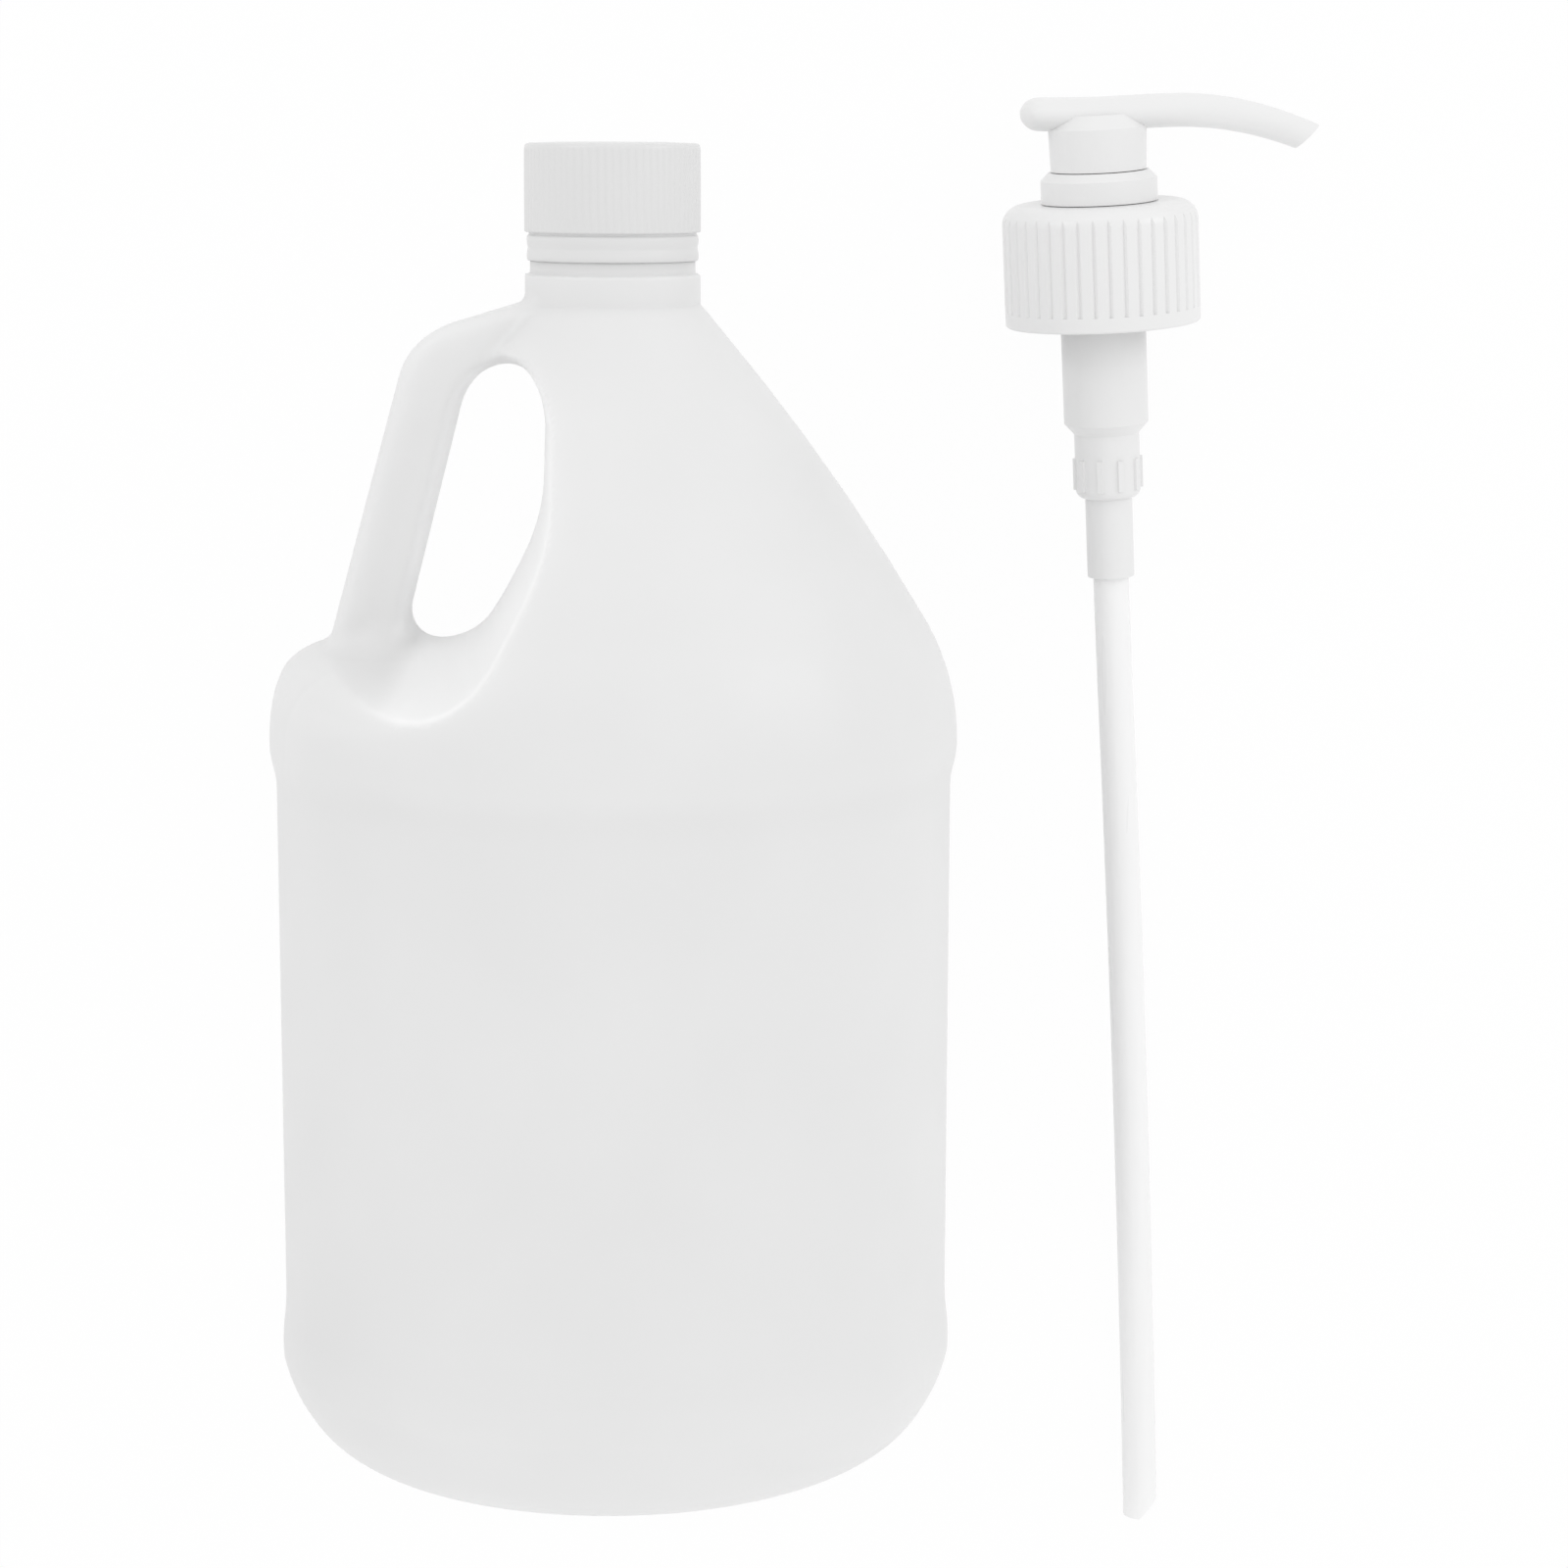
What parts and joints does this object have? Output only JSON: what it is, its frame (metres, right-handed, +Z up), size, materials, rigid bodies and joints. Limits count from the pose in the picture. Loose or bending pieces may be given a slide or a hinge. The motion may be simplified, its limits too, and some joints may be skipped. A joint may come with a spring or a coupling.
{
  "type": "jug with pump",
  "caption": "Round handled plastic jug with a ribbed screw cap, lying beside the lotion pump that fits its neck.",
  "frame": {"origin": "middle of the set's footprint, on the surface that it lies on", "axes": "+Z up from the surface, +Y along the jug towards its cap, +X from the handle's side across to the pump"},
  "size_m": [0.2424, 0.3593, 0.1557],
  "materials": {
    "jug_plastic": "natural high-density polyethylene, milky and faintly translucent, satin as blown",
    "cap_plastic": "white polypropylene, satin, fine ribs",
    "pump_plastic": "white polypropylene, semi-gloss as moulded",
    "tube_plastic": "milky polyethylene tube, satin",
    "seal_foam": "white foam washer"
  },
  "bodies": {
    "set": {"jug": "jug_plastic", "jug_cap": "cap_plastic", "pump_housing": "pump_plastic", "pump_ring": "pump_plastic", "pump_gasket": "seal_foam", "dip_tube": "tube_plastic"},
    "closure": {"pump_collar": "pump_plastic"},
    "stem": {"pump_stem": "pump_plastic"},
    "head": {"pump_head": "pump_plastic"}
  },
  "joints": [
    {"name": "closure_spin", "type": "hinge", "parent": "set", "child": "closure", "pos_m": [0.07123, 0.12564, 0.02316], "axis": [-0.054, 0.9966, 0.0616], "continuous": true},
    {"name": "stem_slide", "type": "slide", "parent": "set", "child": "stem", "axis": [-0.054, 0.9966, 0.0616], "range_m": [0, 0.02]},
    {"name": "head_turn", "type": "hinge", "parent": "stem", "child": "head", "pos_m": [0.07123, 0.12564, 0.02316], "axis": [-0.054, 0.9966, 0.0616], "continuous": true}
  ]
}
